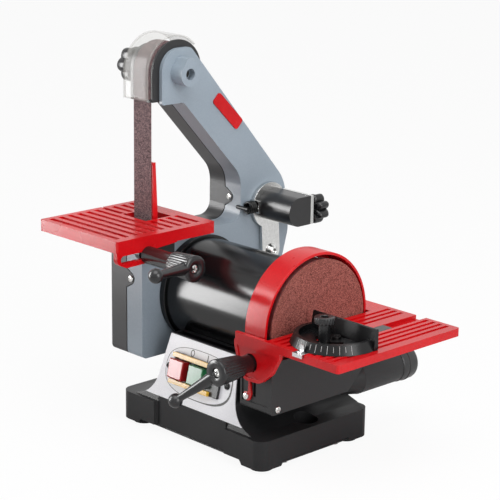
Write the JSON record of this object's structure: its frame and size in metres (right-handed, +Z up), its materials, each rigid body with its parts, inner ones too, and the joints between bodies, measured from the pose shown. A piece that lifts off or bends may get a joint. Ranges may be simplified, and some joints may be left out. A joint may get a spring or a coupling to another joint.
{
  "type": "belt and disc grinder",
  "caption": "Bench grinder with a narrow upright sanding belt on a swept arm, a sanding disc with a slotted side table and mitre gauge, tilting tables, clamp levers and a pedestal switch.",
  "frame": {"origin": "middle of the base's footprint, on the bench the feet stand on, which is within 3 mm of the middle of the two bench bolts", "axes": "+X along the motor shaft from the belt to the disc, +Y away from the operator, +Z up"},
  "size_m": [0.3408, 0.3087, 0.3898],
  "materials": {
    "cast_black": "textured black paint",
    "arm_grey": "smooth light grey paint",
    "cover_grey": "dark grey moulded cover",
    "red_paint": "gloss red paint",
    "motor_black": "gloss black paint",
    "label": "pale printed plate",
    "abrasive_belt": "grit on cloth",
    "abrasive_disc": "grit on paper",
    "black_plastic": "matte black",
    "red_plastic": "gloss red",
    "green_plastic": "gloss green",
    "yellow_plastic": "matte yellow",
    "clear_plastic": "clear polycarbonate",
    "rubber": "moulded rubber",
    "zinc": "zinc plated",
    "steel": "turned steel",
    "aluminium": "machined aluminium",
    "lamination": "varnished iron",
    "sheet_steel": "black sheet steel"
  },
  "bodies": {
    "machine": {"base_casting": "cast_black", "bottom_plate": "sheet_steel", "rubber_feet": "rubber", "base_screws": "zinc", "capacitor": "black_plastic", "cable_gland": "black_plastic", "front_label": "label", "switch_body": "black_plastic", "switch_rails": "yellow_plastic", "switch_screws": "zinc", "motor_shell": "motor_black", "rear_bell": "motor_black", "front_bell": "motor_black", "stator": "lamination", "motor_bearings": "steel", "back_plate": "sheet_steel", "disc_guard": "red_paint", "disc_box": "cast_black", "dust_port": "black_plastic", "disc_end_screws": "zinc", "angle_pointer": "red_plastic", "table_tilt_pins": "steel", "arm_frame": "arm_grey", "belt_cover": "cover_grey", "arm_screws": "zinc", "top_axle": "steel", "guard_bracket": "sheet_steel", "clear_guard": "clear_plastic", "sanding_belt": "abrasive_belt", "platen": "red_paint", "lever_bolt": "zinc", "tension_spring": "steel", "spring_pin": "steel", "table_carrier": "cast_black", "arm_badge": "red_paint"},
    "rotor": {"motor_shaft": "steel", "rotor_core": "lamination", "drive_wheel": "aluminium", "drive_nut": "zinc", "disc_plate": "aluminium", "sanding_disc": "abrasive_disc"},
    "top_pulley": {"top_wheel": "aluminium", "top_wheel_bearings": "steel"},
    "tension_arm": {"tension_lever": "zinc", "tension_handle": "black_plastic", "rear_axle": "steel"},
    "rear_pulley": {"rear_wheel": "aluminium"},
    "tracking": {"tracking_knob": "black_plastic"},
    "hood_knob": {"cover_knob": "black_plastic"},
    "tilt_block": {"slide_block": "steel"},
    "front_table": {"belt_table": "red_paint"},
    "front_table_lock": {"belt_lock": "black_plastic"},
    "side_table": {"disc_table": "red_paint"},
    "side_table_lock": {"disc_lock": "black_plastic"},
    "gauge_bar": {"mitre_bar": "steel"},
    "gauge_head": {"mitre_head": "black_plastic"},
    "gauge_knob": {"mitre_knob": "black_plastic"},
    "off_key": {"off_button": "red_plastic"},
    "on_key": {"on_button": "green_plastic"}
  },
  "joints": [
    {"name": "motor_spin", "type": "hinge", "parent": "machine", "child": "rotor", "pos_m": [0, 0.005, 0.132], "axis": [1, 0, 0], "continuous": true},
    {"name": "top_wheel_spin", "type": "hinge", "parent": "machine", "child": "top_pulley", "pos_m": [-0.0955, -0.023, 0.35343], "axis": [1, 0, 0], "continuous": true},
    {"name": "tension_swing", "type": "hinge", "parent": "machine", "child": "tension_arm", "pos_m": [-0.069, 0.101, 0.154], "axis": [1, 0, 0], "range_deg": [0, 6], "stiffness_Nm_per_rad": 15, "springref_deg": -8.59, "deforming": ["tension_spring"]},
    {"name": "rear_wheel_spin", "type": "hinge", "parent": "tension_arm", "child": "rear_pulley", "pos_m": [-0.0955, 0.098, 0.203], "axis": [1, 0, 0], "continuous": true},
    {"name": "tracking_turn", "type": "hinge", "parent": "tension_arm", "child": "tracking", "pos_m": [-0.03, 0.127, 0.202], "axis": [0, 1, 0], "continuous": true},
    {"name": "cover_knob_turn", "type": "hinge", "parent": "machine", "child": "hood_knob", "pos_m": [-0.135, -0.023, 0.35343], "axis": [1, 0, 0], "continuous": true},
    {"name": "belt_table_tilt", "type": "hinge", "parent": "machine", "child": "tilt_block", "pos_m": [-0.034, -0.099, 0.192], "axis": [1, 0, 0], "range_deg": [0, 45]},
    {"name": "belt_table_slide", "type": "slide", "parent": "tilt_block", "child": "front_table", "axis": [0, 1, 0], "range_m": [0, 0.026]},
    {"name": "belt_lock_turn", "type": "hinge", "parent": "machine", "child": "front_table_lock", "pos_m": [-0.034, -0.099, 0.192], "axis": [1, 0, 0], "range_deg": [0, 90]},
    {"name": "disc_table_tilt", "type": "hinge", "parent": "machine", "child": "side_table", "pos_m": [0.092, 0, 0.1225], "axis": [0, 1, 0], "range_deg": [0, 45]},
    {"name": "disc_lock_turn", "type": "hinge", "parent": "side_table", "child": "side_table_lock", "pos_m": [0.0786, -0.085, 0.105], "axis": [0, 1, 0], "range_deg": [-50, 0]},
    {"name": "gauge_slide", "type": "slide", "parent": "side_table", "child": "gauge_bar", "axis": [0, 1, 0], "range_m": [-0.06, 0.045]},
    {"name": "gauge_swivel", "type": "hinge", "parent": "gauge_bar", "child": "gauge_head", "pos_m": [0.1426, -0.022, 0.133], "axis": [0, 0, 1], "range_deg": [-60, 60]},
    {"name": "gauge_knob_turn", "type": "hinge", "parent": "gauge_bar", "child": "gauge_knob", "pos_m": [0.1426, -0.037, 0.145], "axis": [0, 0, 1], "continuous": true},
    {"name": "off_press", "type": "slide", "parent": "machine", "child": "off_key", "axis": [0, 0.9705, -0.2412], "range_m": [0, 0.0025], "stiffness_N_per_m": 400},
    {"name": "on_press", "type": "slide", "parent": "machine", "child": "on_key", "axis": [0, 0.9705, -0.2412], "range_m": [0, 0.0025], "stiffness_N_per_m": 400}
  ],
  "couplings": [
    {"joint": "top_wheel_spin", "follows": "motor_spin", "ratio": 2.037},
    {"joint": "rear_wheel_spin", "follows": "motor_spin", "ratio": 2.8205},
    {"joint": "belt_table_slide", "follows": "belt_table_tilt", "m_per_rad": 0.033104}
  ]
}
